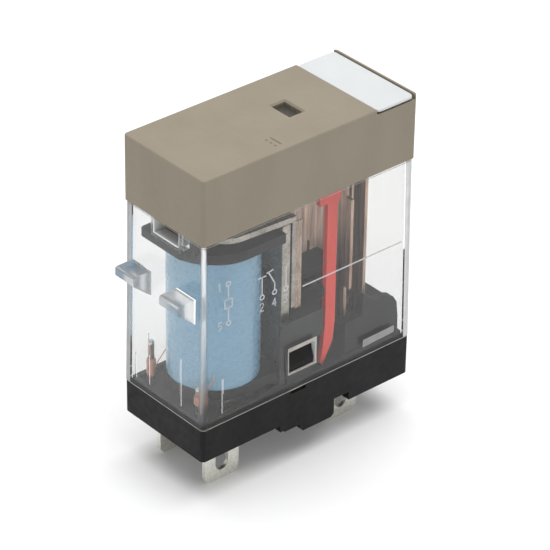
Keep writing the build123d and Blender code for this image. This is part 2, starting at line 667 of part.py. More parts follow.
def make_base():
    """Black floor with a locating rim, side cheeks, latches and keys on its underside."""
    base = rounded_tower(HALF_LENGTH, HALF_WIDTH, CORNER, 0, CASE_SEAT)
    base -= block((-HALF_LENGTH, COIL_SIDE_END), (-HALF_WIDTH, HALF_WIDTH), (0, COIL_SIDE_FLOOR))
    rim_x = CASE_HALF_X - TOUCH
    rim_y = CASE_HALF_Y - TOUCH
    rim_top = CASE_SEAT + RIM_HEIGHT
    rim = rounded_tower(rim_x, rim_y, CORNER / 2, CASE_SEAT, rim_top)
    rim -= rounded_tower(rim_x - RIM_WALL, rim_y - RIM_WALL, CORNER / 4, CASE_SEAT, rim_top)
    cheek = make_cheek()
    latch = make_latch()
    pedestal_y = (-PEDESTAL_HALF_WIDTH, PEDESTAL_HALF_WIDTH)
    pedestal = block((PEDESTAL_LEFT, PEDESTAL_RIGHT), pedestal_y, (CASE_SEAT - FLOOR_DEPTH, PEDESTAL_TOP))
    base += [rim, cheek, mirrored(cheek), latch, mirrored(latch), pedestal]
    key_y = (-HALF_WIDTH, KEY_WIDTH - HALF_WIDTH)
    key = block((KEY_START, KEY_STEP), key_y, (-KEY_SHALLOW, OVERRUN))
    key += block((KEY_STEP, KEY_END), key_y, (-KEY_DEPTH, OVERRUN))
    key = chamfer(key.edges().filter_by(Axis.Y).group_by(Axis.Z)[0], KEY_CHAMFER)
    base += [key, mirrored(key)]
    relief = block((KEY_END, RELIEF_END), key_y, (-OVERRUN, RELIEF_HEIGHT))
    pry_y = (-HALF_WIDTH, PRY_DEPTH - HALF_WIDTH)
    pry_notch = block((PRY_LEFT, PRY_RIGHT), pry_y, (CASE_SEAT - PRY_DEPTH, CASE_SEAT))
    return base - [relief, mirrored(relief), pry_notch, mirrored(pry_notch)]


def make_coil_lead(post_x, post_y, wrap_z):
    """Copper wire end wound on its post, with a short run up the side of the winding."""
    wrap = upright(WRAP_RADIUS, post_x, post_y, wrap_z)
    side = 1 if post_y > 0 else -1
    angle = radians(WIRE_ANGLE)
    start = Vector(post_x + WIRE_START, post_y - side * WIRE_START, wrap_z[1] - TOUCH)
    end = Vector(COIL_X - WIRE_REACH * cos(angle), side * WIRE_REACH * sin(angle), WIRE_END_Z)
    run = Plane(origin=start, z_dir=end - start) * extrude(Circle(WIRE_RADIUS), (end - start).length)
    return wrap + run


def make_lead_solder(post_x, post_y, post_top):
    """Small cap of solder on the top of a post."""
    return Pos(post_x, post_y, post_top - SOLDER_DROP) * Sphere(SOLDER_RADIUS)


# Each coil blade: its row, the x, y and top of its wire post, and the heights of the wound wire
POSTS = {
    "a": (-COIL_ROW, -12.3, -3.55, 7.9, (5.85, 7.05)),
    "b": (COIL_ROW, -12.4, 4.2, 9.9, (5.6, 7.9)),
}

parts = {}
base = make_base()
contact_block = make_contact_block()
indicator_pin = make_indicator_pin()
contact_block -= indicator_pin
for letter, (row, post_x, post_y, post_top, wrap_z) in POSTS.items():
    terminal = make_coil_terminal(row, post_x, post_y, post_top)
    parts["coil_terminal_" + letter] = terminal
    parts["coil_lead_" + letter] = make_coil_lead(post_x, post_y, wrap_z) - terminal
    parts["lead_solder_" + letter] = make_lead_solder(post_x, post_y, post_top) - terminal
    base -= terminal
parts["common_terminal"] = make_common_terminal()
parts["normally_closed_terminal"] = make_closed_terminal()
parts["normally_open_terminal"] = make_open_terminal()
for name in ("common_terminal", "normally_closed_terminal", "normally_open_terminal"):
    base -= parts[name]
parts["base"] = base
parts["contact_block"] = contact_block
parts["indicator_pin"] = indicator_pin
parts["clear_case"] = make_clear_case()
parts["top_cap"] = make_top_cap()
parts["nameplate"] = make_nameplate()
parts["bobbin"] = make_bobbin()
parts["coil_winding"] = ring(WINDING_RADIUS, BARREL_RADIUS, (COIL_BOTTOM, COIL_TOP))
parts["coil_tape"] = ring(TAPE_RADIUS, WINDING_RADIUS, (COIL_BOTTOM, COIL_TOP))
parts["core"] = make_core()
yoke_rivets = make_yoke_rivets()
parts["yoke"] = make_yoke() - yoke_rivets
parts["hinge_spring"] = make_hinge_spring() - yoke_rivets
parts["yoke_rivets"] = Compound(children=yoke_rivets)
strip_rivets = make_strip_rivets()
parts["armature"] = make_armature() - strip_rivets
parts["armature_strip"] = make_armature_strip() - strip_rivets
parts["strip_rivets"] = Compound(children=strip_rivets)
parts["contact_card"] = make_card() - parts["armature_strip"]
parts["moving_leaf"] = make_moving_leaf()
parts["leaf_rivets"] = Compound(children=make_leaf_rivets())
closed_face = CLOSED_PLATE_X + FIXED_PLATE
open_face = OPEN_PLATE_X + OPEN_PLATE_JOG
parts["normally_closed_contact"] = contact((closed_face, LEAF_LEFT - BUTTON - TOUCH))
parts["moving_contact_closed_side"] = contact((LEAF_LEFT - BUTTON, LEAF_LEFT))
parts["moving_contact_open_side"] = contact((LEAF_RIGHT, LEAF_RIGHT + BUTTON))
parts["normally_open_contact"] = contact((open_face - BUTTON, open_face))
parts["indicator_lever"] = make_indicator_lever()

for name, shape in parts.items():
    export_step(shape, "parts/" + name + ".step")
    print(name, len(shape.solids()), round(shape.volume, 2))
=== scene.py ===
"""Looks of a slim plug-in relay: finishes, printed marks, wound wire ends, floor, light, camera."""

import json
import math

import bmesh
import bpy
from mathutils import Matrix, Vector


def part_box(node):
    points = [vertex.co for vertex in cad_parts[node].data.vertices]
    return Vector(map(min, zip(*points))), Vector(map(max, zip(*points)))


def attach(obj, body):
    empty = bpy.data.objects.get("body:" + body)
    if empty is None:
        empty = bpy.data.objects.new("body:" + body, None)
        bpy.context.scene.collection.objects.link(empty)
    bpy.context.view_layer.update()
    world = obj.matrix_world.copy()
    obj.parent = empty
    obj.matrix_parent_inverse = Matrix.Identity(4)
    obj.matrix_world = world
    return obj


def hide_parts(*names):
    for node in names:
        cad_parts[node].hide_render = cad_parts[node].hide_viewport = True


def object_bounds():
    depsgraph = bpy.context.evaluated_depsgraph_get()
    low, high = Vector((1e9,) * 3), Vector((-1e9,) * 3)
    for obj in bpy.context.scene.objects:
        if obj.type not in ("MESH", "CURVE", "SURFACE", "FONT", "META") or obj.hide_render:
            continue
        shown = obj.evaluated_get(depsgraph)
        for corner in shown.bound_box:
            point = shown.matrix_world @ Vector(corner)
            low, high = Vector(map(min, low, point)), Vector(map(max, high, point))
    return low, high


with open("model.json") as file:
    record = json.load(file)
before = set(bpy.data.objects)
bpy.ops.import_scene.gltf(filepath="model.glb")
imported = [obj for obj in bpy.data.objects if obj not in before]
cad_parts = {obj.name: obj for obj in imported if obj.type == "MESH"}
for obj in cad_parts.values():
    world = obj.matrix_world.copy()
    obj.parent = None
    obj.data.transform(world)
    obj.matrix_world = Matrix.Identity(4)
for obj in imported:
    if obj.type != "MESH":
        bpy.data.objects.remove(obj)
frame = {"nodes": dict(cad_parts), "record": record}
cad_box = [list(corner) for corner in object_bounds()]

MM = 0.001
NODES = frame["nodes"]
SLOT_OF = {row["node"]: row["material_slot"] for row in frame["record"]["subparts"]}

# Camera: where it looks from, in degrees, and what it looks at
VIEW_AZIMUTH = -41.14
VIEW_ELEVATION = 32.16
VIEW_ROLL = 0.93
VIEW_DISTANCE = 331.3 * MM
VIEW_TARGET = Vector((-0.14, -1.0, 15.66)) * MM
LENS = 205.6
SENSOR = 36
CLIP = (0.01, 10)

# Light
SKY_STRENGTH = 0.62
KEY_STRENGTH = 2.7
KEY_SPREAD = 62
KEY_LEAN = (0, 6)      # degrees about X and Y from straight overhead
FLOOR_RADIUS = 3.0
FLOOR_SHADE = (0.82, 0.82, 0.82)
FLOOR_GLOW = 0.05         # light coming up through the pale floor

# Clear case and the ink on it
CASE_DRAFT = 0.3 * MM
WALL = 0.75 * MM
VENT_FRAME = (1.15 * MM, -2.65 * MM, 2.2 * MM, 24.7 * MM)   # depth, low and high Y, lower edge
INK_GAP = 0.001 * MM
INK_THICKNESS = 0.004 * MM

# Direct-current sign on the cap: its middle, and the size of its strokes
CAP_SIGN_PLACE = (-3.48 * MM, -4.62 * MM)
CAP_SIGN_LENGTH = 1.7 * MM
CAP_SIGN_STROKE = 0.2 * MM
CAP_SIGN_GAP = 0.66 * MM

TAPE_LAP = 3.6 * MM       # from the coil's axis to the end of the tape

# Share of a noise pattern's range over which its colours or values change
SHADE_START = 0.3
SHADE_END = 0.7

# Colour sockets of a Mix node, by number, because other kinds share their names
MIX_COLOURS = (6, 7)
MIX_RESULT = 2


# ---------------------------------------------------------------- node materials

class Finish:
    """A node material built round one Principled shader. Sizes are in metres."""

    def __init__(self, name, sockets):
        self.material = bpy.data.materials.new(name)
        self.material.use_nodes = True
        self.tree = self.material.node_tree
        self.shader = self.tree.nodes["Principled BSDF"]
        for socket, value in sockets.items():
            self.shader.inputs[socket].default_value = value
        self.height = None        # normal that the next relief is laid on

    def node(self, kind, settings=None, **inputs):
        """New node, with plain inputs set and outputs linked in. _0 and _1 are inputs by number."""
        made = self.tree.nodes.new("ShaderNode" + kind)
        for name, value in (settings or {}).items():
            setattr(made, name, value)
        for name, value in inputs.items():
            socket = made.inputs[int(name[1:])] if name[1:].isdigit() else made.inputs[name]
            if isinstance(value, bpy.types.NodeSocket):
                self.tree.links.new(value, socket)
            else:
                socket.default_value = value
        return made

    def send(self, output, socket):
        """Feeds one of the shader's sockets."""
        self.tree.links.new(output, self.shader.inputs[socket])

    def place(self, stretch=(1, 1, 1)):
        """Position on the part in metres, each axis divided by its stretch."""
        spot = self.node("TexCoord").outputs["Object"]
        if stretch == (1, 1, 1):
            return spot
        scale = tuple(1 / s for s in stretch)
        return self.node("Mapping", Vector=spot, Scale=scale).outputs["Vector"]

    def noise(self, size, detail=3.0, stretch=(1, 1, 1), rough=0.5):
        """Cloudy pattern with patches of about this size."""
        made = self.node("TexNoise", Vector=self.place(stretch), Scale=1 / size, Detail=detail)
        made.inputs["Roughness"].default_value = rough
        return made.outputs["Fac"]

    def axis(self, name):
        """One coordinate on the part, in metres."""
        split = self.node("SeparateXYZ", Vector=self.place())
        return split.outputs[name]

    def spread(self, value, low, high, start=0.35, end=0.65):
        """Value mapped from start..end to low..high."""
        made = self.node("MapRange", Value=value)
        for name, number in zip(("From Min", "From Max", "To Min", "To Max"), (start, end, low, high)):
            made.inputs[name].default_value = number
        return made.outputs["Result"]

    def math(self, operation, a, b=0.0):
        """Sum, product or other plain operation on two values."""
        return self.node("Math", {"operation": operation}, _0=a, _1=b).outputs[0]

    def between(self, value, low, high, blur):
        """1 where value lies between low and high, 0 elsewhere."""
        above = self.spread(value, 0, 1, low - blur, low + blur)
        below = self.spread(value, 1, 0, high - blur, high + blur)
        return self.math("MULTIPLY", above, below)

    def shades(self, value, dark, light):
        """Colour between dark and light, as the value goes."""
        ramp = self.node("ValToRGB", Fac=value)
        stops = ((SHADE_START, dark), (SHADE_END, light))
        for stop, (position, colour) in zip(ramp.color_ramp.elements, stops):
            stop.position = position
            stop.color = (*colour, 1)
        return ramp.outputs["Color"]

    def blend(self, share, first, second):
        """Colour mixed from two, each a node's output or a fixed colour."""
        made = self.node("Mix", {"data_type": "RGBA"})
        self.tree.links.new(share, made.inputs[0])
        for number, value in zip(MIX_COLOURS, (first, second)):
            socket = made.inputs[number]
            if isinstance(value, tuple):
                socket.default_value = (*value, 1)
            else:
                self.tree.links.new(value, socket)
        return made.outputs[MIX_RESULT]

    def bump(self, value, depth):
        """Adds a relief of this depth under the one already there."""
        made = self.node("Bump", Height=value, Distance=depth)
        if self.height is not None:
            self.tree.links.new(self.height, made.inputs["Normal"])
        self.height = made.outputs["Normal"]
        self.send(self.height, "Normal")

    def edges(self, radius):
        """1 along sharp edges, 0 on open faces."""
        rounded = self.node("Bevel", {"samples": 4}, Radius=radius).outputs["Normal"]
        straight = self.node("NewGeometry").outputs["Normal"]
        alike = self.node("VectorMath", {"operation": "DOT_PRODUCT"}, _0=rounded, _1=straight)
        return self.spread(alike.outputs["Value"], 1, 0, 0.75, 0.99)


def moulded_plastic(name, dark, light, worn_and_lit, gloss, level):
    """Fine spark-eroded moulded plastic with flow marks, and edges made lighter: part rubbed wear, part
    painted edge highlight.
    """
    finish = Finish(name, {"Specular IOR Level": level})
    flow = finish.noise(size=6 * MM, detail=4, stretch=(1, 1, 2.5))
    speck = finish.noise(size=0.09 * MM, detail=2)
    colour = finish.shades(finish.math("MULTIPLY", flow, finish.spread(speck, 0.8, 1.2)), dark, light)
    # lighter along sharp edges: painted edge highlight, partly rubbed wear
    edge = finish.edges(radius=0.16 * MM)
    rubbed_and_lit = finish.math("MULTIPLY", edge, finish.spread(finish.noise(size=0.7 * MM), 0.2, 0.8))
    finish.send(finish.blend(rubbed_and_lit, colour, worn_and_lit), "Base Color")
    roughness = finish.spread(finish.noise(size=0.9 * MM, detail=5), gloss, gloss + 0.14)
    polish = finish.math("MULTIPLY", rubbed_and_lit, 0.12)
    finish.send(finish.math("SUBTRACT", roughness, polish), "Roughness")
    finish.bump(finish.noise(size=1.6 * MM, detail=3), depth=0.006 * MM)
    finish.bump(speck, depth=0.0035 * MM)
    return finish


def black_plastic():
    return moulded_plastic(
        "black_plastic",
        dark=(0.009, 0.009, 0.0095),
        light=(0.016, 0.016, 0.0165),
        worn_and_lit=(0.035, 0.035, 0.035),
        gloss=0.45,
        level=0.13,
    ).material


def grey_black_plastic():
    return moulded_plastic(
        "grey_black_plastic",
        dark=(0.013, 0.013, 0.014),
        light=(0.022, 0.022, 0.023),
        worn_and_lit=(0.05, 0.05, 0.05),
        gloss=0.36,
        level=0.25,
    ).material


def red_plastic():
    return moulded_plastic(
        "red_plastic",
        dark=(0.62, 0.030, 0.018),
        light=(0.80, 0.055, 0.036),
        worn_and_lit=(0.84, 0.20, 0.15),
        gloss=0.30,
        level=0.4,
    ).material


def white_plastic():
    """The nameplate's plastic, which lets a little light in."""
    finish = moulded_plastic(
        "white_plastic",
        dark=(0.55, 0.565, 0.57),
        light=(0.59, 0.605, 0.61),
        worn_and_lit=(0.64, 0.65, 0.66),
        gloss=0.30,
        level=0.4,
    )
    finish.shader.inputs["Subsurface Weight"].default_value = 0.2
    finish.shader.inputs["Subsurface Radius"].default_value = (1, 1, 1)
    finish.shader.inputs["Subsurface Scale"].default_value = 0.5 * MM
    return finish.material


def current_sign(finish):
    """Share of ink of the direct-current sign: a bar with three dashes beside it."""
    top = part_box("top_cap")[1].z
    x, y, z = finish.axis("X"), finish.axis("Y"), finish.axis("Z")
    blur = 0.03 * MM
    on_top = finish.spread(z, 0, 1, top - 0.1 * MM, top - 0.05 * MM)
    middle_x, middle_y = CAP_SIGN_PLACE
    half_length, half_stroke = CAP_SIGN_LENGTH / 2, CAP_SIGN_STROKE / 2
    bar = finish.math(
        "MULTIPLY",
        finish.between(y, middle_y - half_length, middle_y + half_length, blur),
        finish.between(x, middle_x - half_stroke, middle_x + half_stroke, blur),
    )
    dash = CAP_SIGN_LENGTH / 5
    dashes = None
    for place in (-2, 0, 2):
        middle = middle_y + place * dash
        one = finish.between(y, middle - dash / 2, middle + dash / 2, blur)
        dashes = one if dashes is None else finish.math("ADD", dashes, one)
    row_x = middle_x - CAP_SIGN_GAP
    row = finish.between(x, row_x - half_stroke, row_x + half_stroke, blur)
    dashes = finish.math("MULTIPLY", dashes, row)
    return finish.math("MULTIPLY", on_top, finish.math("ADD", bar, dashes))


def beige_plastic():
    """The cap's plastic, with the direct-current sign printed on its top."""
    finish = moulded_plastic(
        "beige_plastic",
        dark=(0.239, 0.208, 0.158),
        light=(0.266, 0.232, 0.177),
        worn_and_lit=(0.315, 0.278, 0.216),
        gloss=0.45,
        level=0.2,
    )
    body = finish.shader.inputs["Base Color"].links[0].from_socket
    ink_colour = (0.135, 0.118, 0.092)
    finish.send(finish.blend(current_sign(finish), body, ink_colour), "Base Color")
    return finish.material


def thick_parts(finish):
    """Shares of the thick, milky corners and vent frame, and of the two tabs, which take a darker tint
    as painted shade.
    """
    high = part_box("clear_case")[1]
    x, y, z = finish.axis("X"), finish.axis("Y"), finish.axis("Z")
    blur = 0.06 * MM
    end, side = high.x - WALL, high.y - WALL
    at_end = finish.spread(finish.math("ABSOLUTE", x), 0, 1, end - blur, end + blur)
    at_side = finish.spread(finish.math("ABSOLUTE", y), 0, 1, side - blur, side + blur)
    tabs = finish.spread(x, 1, 0, -high.x - blur, -high.x)
    depth, low_y, high_y, low_z = VENT_FRAME
    vent = finish.math(
        "MULTIPLY",
        finish.between(x, -2 * high.x, -end + depth, blur),
        finish.between(y, low_y, high_y, blur),
    )
    vent = finish.math("MULTIPLY", vent, finish.spread(z, 0, 1, low_z - blur, low_z))
    corners = finish.math("MULTIPLY", at_end, at_side)
    return finish.math("MAXIMUM", corners, vent), tabs


def clear_plastic():
    """Clear polycarbonate that lets lamps and soft light through to what is inside."""
    sockets = {"Transmission Weight": 1.0, "IOR": 1.38, "Specular IOR Level": 0.5}
    finish = Finish("clear_plastic", sockets)
    thin_tint, thick_shade_tint, tab_shade_tint = (0.858, 0.862, 0.860), (0.62, 0.63, 0.63), (0.50, 0.51, 0.52)
    thick, tabs = thick_parts(finish)
    # darker tint in the thick parts and tabs: painted shade
    tint = finish.blend(thick, thin_tint, thick_shade_tint)
    finish.send(finish.blend(tabs, tint, tab_shade_tint), "Base Color")
    finish.height = finish.node("NewGeometry").outputs["True Normal"]
    smooth = finish.spread(finish.noise(size=2.5 * MM, detail=4), 0.012, 0.05)
    most_milky = 0.38
    milky = finish.math("MULTIPLY", finish.math("MAXIMUM", thick, tabs), most_milky)
    finish.send(finish.math("ADD", smooth, milky), "Roughness")
    finish.bump(finish.noise(size=7 * MM, detail=2, stretch=(1, 1, 3)), depth=0.012 * MM)
    path = finish.node("LightPath")
    soft = finish.math("MAXIMUM", path.outputs["Is Shadow Ray"], path.outputs["Is Diffuse Ray"])
    most_bounces = 3.5        # light trapped in the walls for longer goes straight on
    trapped = finish.math("GREATER_THAN", path.outputs["Ray Depth"], most_bounces)
    soft = finish.math("MAXIMUM", soft, trapped)
    open_way = finish.node("BsdfTransparent", Color=(0.97, 0.98, 0.98, 1))
    mix = finish.node("MixShader", Fac=soft)
    links = finish.tree.links
    links.new(finish.shader.outputs[0], mix.inputs[1])
    links.new(open_way.outputs[0], mix.inputs[2])
    links.new(mix.outputs[0], finish.tree.nodes["Material Output"].inputs["Surface"])
    return finish.material


def painted_glass_light(name, dark, light):
    """Painted highlight and shade for the clear plastic where it is rounded or thick: strips pale or
    grey by the colours given.
    """
    finish = Finish(name, {"Specular IOR Level": 0.5})
    along = finish.noise(size=1.5 * MM, detail=4)
    finish.send(finish.shades(along, dark, light), "Base Color")
    finish.send(finish.spread(along, 0.3, 0.5), "Roughness")
    finish.bump(finish.noise(size=0.1 * MM, detail=2), depth=0.001 * MM)
    return finish.material


def printed_ink(name, dark, light):
    """Grey pad-printing ink, a little thin in places."""
    finish = Finish(name, {"Specular IOR Level": 0.3})
    thin = finish.noise(size=0.35 * MM, detail=4)
    finish.send(finish.shades(thin, dark, light), "Base Color")
    finish.send(finish.spread(thin, 0.45, 0.65), "Roughness")
    finish.bump(finish.noise(size=0.12 * MM, detail=2), depth=0.002 * MM)
    return finish.material


def blue_tape():
    """Polyester film wound tight over the turns of the coil, with its overlap showing and painted shade
    in the grooves between turns.
    """
    sockets = {"Specular IOR Level": 0.5, "Coat Weight": 0.35, "Coat Roughness": 0.12}
    finish = Finish("blue_tape", sockets)
    tone = finish.noise(size=5 * MM, detail=3, stretch=(1, 1, 6))
    colour = finish.shades(tone, dark=(0.17, 0.34, 0.49), light=(0.205, 0.39, 0.54))
    shade_between_turns = (0.14, 0.285, 0.43)
    turns = finish.node(
        "TexWave",
        {"bands_direction": "Z"},
        Vector=finish.place(),
        Scale=1 / (0.9 * MM),
        Distortion=0.6,
    ).outputs["Fac"]
    # darker between the turns: painted shade in the grooves
    groove_shade = finish.spread(turns, 0, 0.18, 0, 1)
    finish.send(finish.blend(groove_shade, colour, shade_between_turns), "Base Color")
    middle = sum(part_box("coil_tape"), Vector()) / 2
    across = finish.math("SUBTRACT", finish.axis("Y"), middle.y - TAPE_LAP)
    lap = finish.spread(across, 0, 1, -0.05 * MM, 0.05 * MM)
    finish.send(finish.spread(finish.noise(size=0.6 * MM, detail=4), 0.22, 0.36), "Roughness")
    finish.bump(lap, depth=0.03 * MM)
    finish.bump(turns, depth=0.012 * MM)
    return finish.material


def metal(name, dark, light, gloss, grain, brushed=(1, 1, 1), shine=1.0):
    """Sheet or drawn metal with grain along the direction in which it was worked."""
    finish = Finish(name, {"Metallic": shine})
    cloud = finish.noise(size=2.2 * MM, detail=5)
    line = finish.noise(size=grain, detail=4, stretch=brushed, rough=0.6)
    tone = finish.math("MULTIPLY", cloud, finish.spread(line, 0.75, 1.25))
    finish.send(finish.shades(tone, dark, light), "Base Color")
    finish.send(finish.spread(line, gloss, gloss + 0.16), "Roughness")
    finish.bump(line, depth=0.003 * MM)
    return finish


METALS = {
    "plated_iron": {
        "dark": (0.27, 0.245, 0.215),
        "light": (0.48, 0.435, 0.385),
        "gloss": 0.26,
        "grain": 0.2 * MM,
        "brushed": (1, 4, 1),
    },
    "copper_alloy": {
        "dark": (0.26, 0.19, 0.15),
        "light": (0.50, 0.385, 0.31),
        "gloss": 0.22,
        "grain": 0.15 * MM,
        "brushed": (1, 1, 8),
    },
    "rivet_metal": {
        "dark": (0.55, 0.52, 0.47),
        "light": (0.80, 0.77, 0.71),
        "gloss": 0.24,
        "grain": 0.12 * MM,
    },
    "contact_silver": {
        "dark": (0.70, 0.68, 0.64),
        "light": (0.92, 0.90, 0.86),
        "gloss": 0.18,
        "grain": 0.1 * MM,
    },
    "solder": {
        "dark": (0.55, 0.54, 0.52),
        "light": (0.80, 0.79, 0.77),
        "gloss": 0.20,
        "grain": 0.25 * MM,
    },
}


def enamelled_copper():
    """Fine enamelled wire: pinkish copper under clear lacquer."""
    finish = metal(
        "enamelled_copper",
        dark=(0.52, 0.24, 0.15),
        light=(0.80, 0.44, 0.31),
        gloss=0.24,
        grain=0.08 * MM,
        shine=0.7,
    )
    finish.shader.inputs["Coat Weight"].default_value = 0.5
    finish.shader.inputs["Coat Roughness"].default_value = 0.15
    return finish.material


def plated_terminal():
    """Terminal sheet: plated blade below the base, bare copper alloy plate above it."""
    finish = Finish("plated_terminal", {"Metallic": 0.8})
    mottle = finish.noise(size=0.28 * MM, detail=5, rough=0.65)
    plating = finish.shades(mottle, dark=(0.62, 0.615, 0.555), light=(0.90, 0.89, 0.82))
    streak = finish.noise(size=0.5 * MM, detail=5, stretch=(1, 1, 14), rough=0.6)
    bare = finish.shades(streak, dark=(0.16, 0.10, 0.075), light=(0.68, 0.47, 0.36))
    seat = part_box("clear_case")[0].z
    height = finish.axis("Z")
    above = finish.spread(height, 0, 1, seat, seat + 0.3 * MM)
    finish.send(finish.blend(above, plating, bare), "Base Color")
    finish.send(finish.spread(mottle, 0.30, 0.48), "Roughness")
    finish.bump(mottle, depth=0.006 * MM)
    finish.bump(finish.noise(size=0.08 * MM, detail=2), depth=0.002 * MM)
    return finish.material


def window_shade_plastic():
    """Dark clear plastic of the pane in the cap's window: painted shade that hides the light seen
    through it.
    """
    finish = Finish("window_shade_plastic", {"Transmission Weight": 1.0, "IOR": 1.45})
    haze = finish.noise(size=0.4 * MM, detail=4)
    finish.send(finish.shades(haze, dark=(0.30, 0.27, 0.225), light=(0.40, 0.36, 0.30)), "Base Color")
    finish.send(finish.spread(haze, 0.35, 0.5), "Roughness")
    finish.bump(finish.noise(size=0.3 * MM, detail=2), depth=0.004 * MM)
    return finish.material


def floor_paper():
    """Pale matt studio floor."""
    glow = {"Emission Color": (1, 1, 1, 1), "Emission Strength": FLOOR_GLOW}
    finish = Finish("floor_paper", {"Specular IOR Level": 0.1, **glow})
    tooth = finish.noise(size=1.2 * MM, detail=3)
    darker = tuple(0.99 * part for part in FLOOR_SHADE)
    finish.send(finish.shades(tooth, darker, FLOOR_SHADE), "Base Color")
    finish.send(finish.spread(tooth, 0.85, 0.95), "Roughness")
    return finish.material


FINISHES = {
    "black_plastic": black_plastic(),
    "grey_black_plastic": grey_black_plastic(),
    "clear_plastic": clear_plastic(),
    "beige_plastic": beige_plastic(),
    "white_plastic": white_plastic(),
    "enamelled_copper": enamelled_copper(),
    "blue_tape": blue_tape(),
    "plated_terminal": plated_terminal(),
    "red_plastic": red_plastic(),
}
for name, values in METALS.items():
    FINISHES[name] = metal(name, **values).material

# ---------------------------------------------------------------- CAD nodes

# Edge rounding in millimetres: the usual one, and the nodes where it differs
EDGE = 0.05
EDGE_OF = {
    "base": 0.12,
    "clear_case": 0.06,
    "top_cap": 0.08,
    "contact_block": 0.1,
    "coil_terminal_a": 0.06,
    "coil_terminal_b": 0.06,
    "coil_tape": 0.0,
    "coil_winding": 0.0,
    "lead_solder_a": 0.0,
    "lead_solder_b": 0.0,
    "hinge_spring": 0.02,
    "armature_strip": 0.03,
}
SHARP = math.radians(38)
WELD_GAP = 0.0005 * MM


def dress_node(name):
    """Gives a CAD node its finish and slightly rounded edges."""
    node = NODES[name]
    finish = FINISHES[SLOT_OF[name]]
    for slot in node.material_slots:
        slot.material = finish
    width = EDGE_OF.get(name, EDGE) * MM
    if width == 0:
        return
    weld = node.modifiers.new("weld", "WELD")
    weld.merge_threshold = WELD_GAP
    bevel = node.modifiers.new("edges", "BEVEL")
    bevel.width = width
    bevel.segments = 2
    bevel.limit_method = "ANGLE"
    bevel.angle_limit = SHARP
    bevel.harden_normals = name != "clear_case"


for name in NODES:
    dress_node(name)


# ---------------------------------------------------------------- printed marks

def case_wall(x, z, out):
    """Point on the near long face of the clear case, which leans in towards the cap."""
    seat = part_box("clear_case")[0]
    rise = (z - seat.z) / (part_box("top_cap")[0].z - seat.z)
    return Vector((x, seat.y + rise * CASE_DRAFT - out, z))


def ride_data(name, data, material):
    """Makes a piece of the housing from a mesh or a curve."""
    data.materials.append(material)
    piece = bpy.data.objects.new(name, data)
    bpy.context.scene.collection.objects.link(piece)
    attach(piece, "housing")
    return piece


def ride_mesh(name, mesh, material):
    """Makes a piece of the housing from a mesh built here."""
    bmesh.ops.recalc_face_normals(mesh, faces=mesh.faces)
    data = bpy.data.meshes.new(name)
    mesh.to_mesh(data)
    ride_data(name, data, material)


def ride_wire(name, points, radius, material, steps, closed=False):
    """Makes a round wire of the housing along these points, with capped ends unless it is closed."""
    curve = bpy.data.curves.new(name, "CURVE")
    curve.dimensions = "3D"
    curve.bevel_depth = radius
    curve.bevel_resolution = steps
    curve.use_fill_caps = not closed
    spline = curve.splines.new("POLY")
    spline.points.add(len(points) - 1)
    spline.use_cyclic_u = closed
    for slot, point in zip(spline.points, points):
        slot.co = (*point, 1)
    return ride_data(name, curve, material)


class Print:
    """Flat marks of ink on the near long face. Places are (x, z) in millimetres."""

    def __init__(self):
        self.mesh = bmesh.new()

    def patch(self, outline):
        """One closed patch of ink with straight sides."""
        rims = []
        for out in (INK_GAP, INK_GAP + INK_THICKNESS):
            rims.append([self.mesh.verts.new(case_wall(x * MM, z * MM, out)) for x, z in outline])
        back, front = rims
        self.mesh.faces.new(front)
        self.mesh.faces.new(reversed(back))
        for i in range(len(outline)):
            j = (i + 1) % len(outline)
            self.mesh.faces.new((back[i], back[j], front[j], front[i]))

    def line(self, start, end, width):
        """Stroke with square ends that reach half its width past its points."""
        start, end = Vector(start), Vector(end)
        along = (end - start).normalized() * width / 2
        side = Vector((-along.y, along.x))
        start, end = start - along, end + along
        self.patch([start - side, end - side, end + side, start + side])

    def path(self, points, width):
        """Row of strokes through these points."""
        for start, end in zip(points, points[1:]):
            self.line(start, end, width)

    def circle(self, centre, radius, width):
        """Ring of ink, as a row of short patches."""
        turn = 2 * math.pi / CIRCLE_STEPS
        for i in range(CIRCLE_STEPS):
            rim = []
            for angle, reach in ((i, -1), (i + 1, -1), (i + 1, 1), (i, 1)):
                distance = radius + reach * width / 2
                x = centre[0] + distance * math.cos(angle * turn)
                z = centre[1] + distance * math.sin(angle * turn)
                rim.append((x, z))
            self.patch(rim)

    def digit(self, figure, centre, height, width):
        """A plain numeral drawn as strokes on a grid of 2 by 4."""
        unit = height / 4
        left, bottom = centre[0] - unit, centre[1] - 2 * unit
        for stroke in DIGITS[figure]:
            self.path([(left + x * unit, bottom + z * unit) for x, z in stroke], width)

    def lay(self, name, ink):
        """Turns the marks into a piece of the part."""
        ride_mesh(name, self.mesh, ink)


DIGITS = {
    "1": [[(0.4, 3.2), (1, 4), (1, 0)]],
    "2": [[(0, 3.3), (0.5, 4), (1.5, 4), (2, 3.2), (1.8, 2.3), (0, 0), (2, 0)]],
    "3": [[(0, 3.6), (0.6, 4), (1.5, 4), (2, 3.1), (1.2, 2.2), (2, 1.1), (1.5, 0), (0.5, 0), (0, 0.5)]],
    "4": [[(1.5, 0), (1.5, 4), (0, 1.2), (2.1, 1.2)]],
    "5": [[(1.9, 4), (0.3, 4), (0.1, 2.3), (1.3, 2.5), (2, 1.5), (1.4, 0.2), (0.1, 0.1)]],
}
CIRCLE_STEPS = 20

